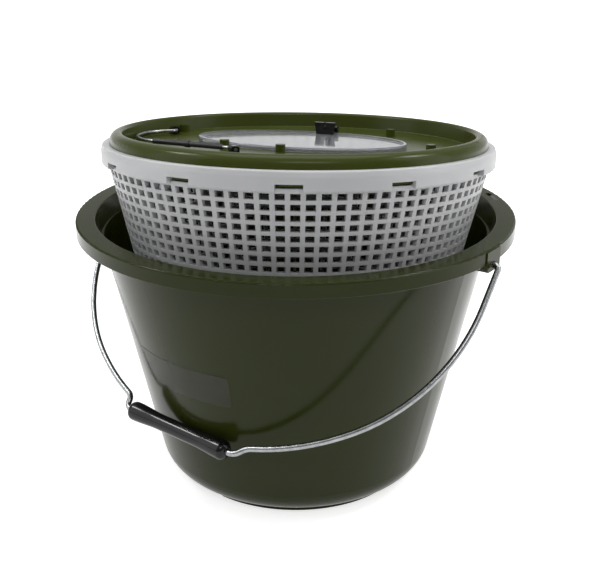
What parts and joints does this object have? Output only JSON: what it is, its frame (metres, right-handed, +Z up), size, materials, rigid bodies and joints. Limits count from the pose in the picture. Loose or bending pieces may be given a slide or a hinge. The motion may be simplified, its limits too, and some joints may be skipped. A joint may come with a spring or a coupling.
{
  "type": "bait bucket",
  "caption": "Round bucket with a flanged rim and wire bail, holding a deep perforated basket whose clip-on lid has a clear oval hatch and a small folding wire handle.",
  "frame": {"origin": "middle of the bucket's underside, in the plane that its foot ring stands on", "axes": "+Z up, X along the bail's pivot axis, the bail hangs towards -Y"},
  "size_m": [0.387, 0.3698, 0.3186],
  "materials": {
    "bucket_plastic": "semi-gloss dark olive polypropylene",
    "lid_plastic": "semi-gloss olive green plastic",
    "basket_plastic": "satin white plastic",
    "label_film": "clear glossy film",
    "clear_plastic": "clear polished plastic",
    "black_plastic": "glossy black plastic",
    "black_tube": "satin black tube",
    "galvanised_wire": "bright galvanised steel wire",
    "steel_pin": "bright steel"
  },
  "bodies": {
    "bucket": {"bucket_shell": "bucket_plastic", "label_film": "label_film"},
    "bail": {"bail_wire": "galvanised_wire"},
    "grip": {"bail_grip": "black_plastic"},
    "basket": {"basket_net": "basket_plastic", "basket_lid": "lid_plastic", "hatch_hinge_bracket": "black_plastic", "hatch_hinge_pin": "steel_pin", "lid_handle_feet": "black_plastic"},
    "hatch": {"hatch_window": "clear_plastic", "hatch_hinge_leaf": "black_plastic"},
    "lid_handle": {"lid_handle_wire": "galvanised_wire", "lid_handle_sleeve": "black_tube"}
  },
  "joints": [
    {"name": "bail_swing", "type": "hinge", "parent": "bucket", "child": "bail", "pos_m": [0, 0, 0.2224], "axis": [-1, 0, 0], "range_deg": [0, 272.7]},
    {"name": "grip_spin", "type": "hinge", "parent": "bail", "child": "grip", "pos_m": [-0.0205, -0.13843, 0.07718], "axis": [0.9978, -0.0457, -0.048], "continuous": true},
    {"name": "basket_lift", "type": "slide", "parent": "bucket", "child": "basket", "axis": [0, 0, 1], "range_m": [0, 0.45]},
    {"name": "hatch_open", "type": "hinge", "parent": "basket", "child": "hatch", "pos_m": [-0.01958, 0.078, 0.28823], "axis": [-0.9727, -0.2306, -0.0267], "range_deg": [0, 110]},
    {"name": "handle_fold", "type": "hinge", "parent": "basket", "child": "lid_handle", "pos_m": [-0.07075, -0.03645, 0.29382], "axis": [-0.8672, 0.4903, -0.0871], "range_deg": [0, 160]}
  ]
}
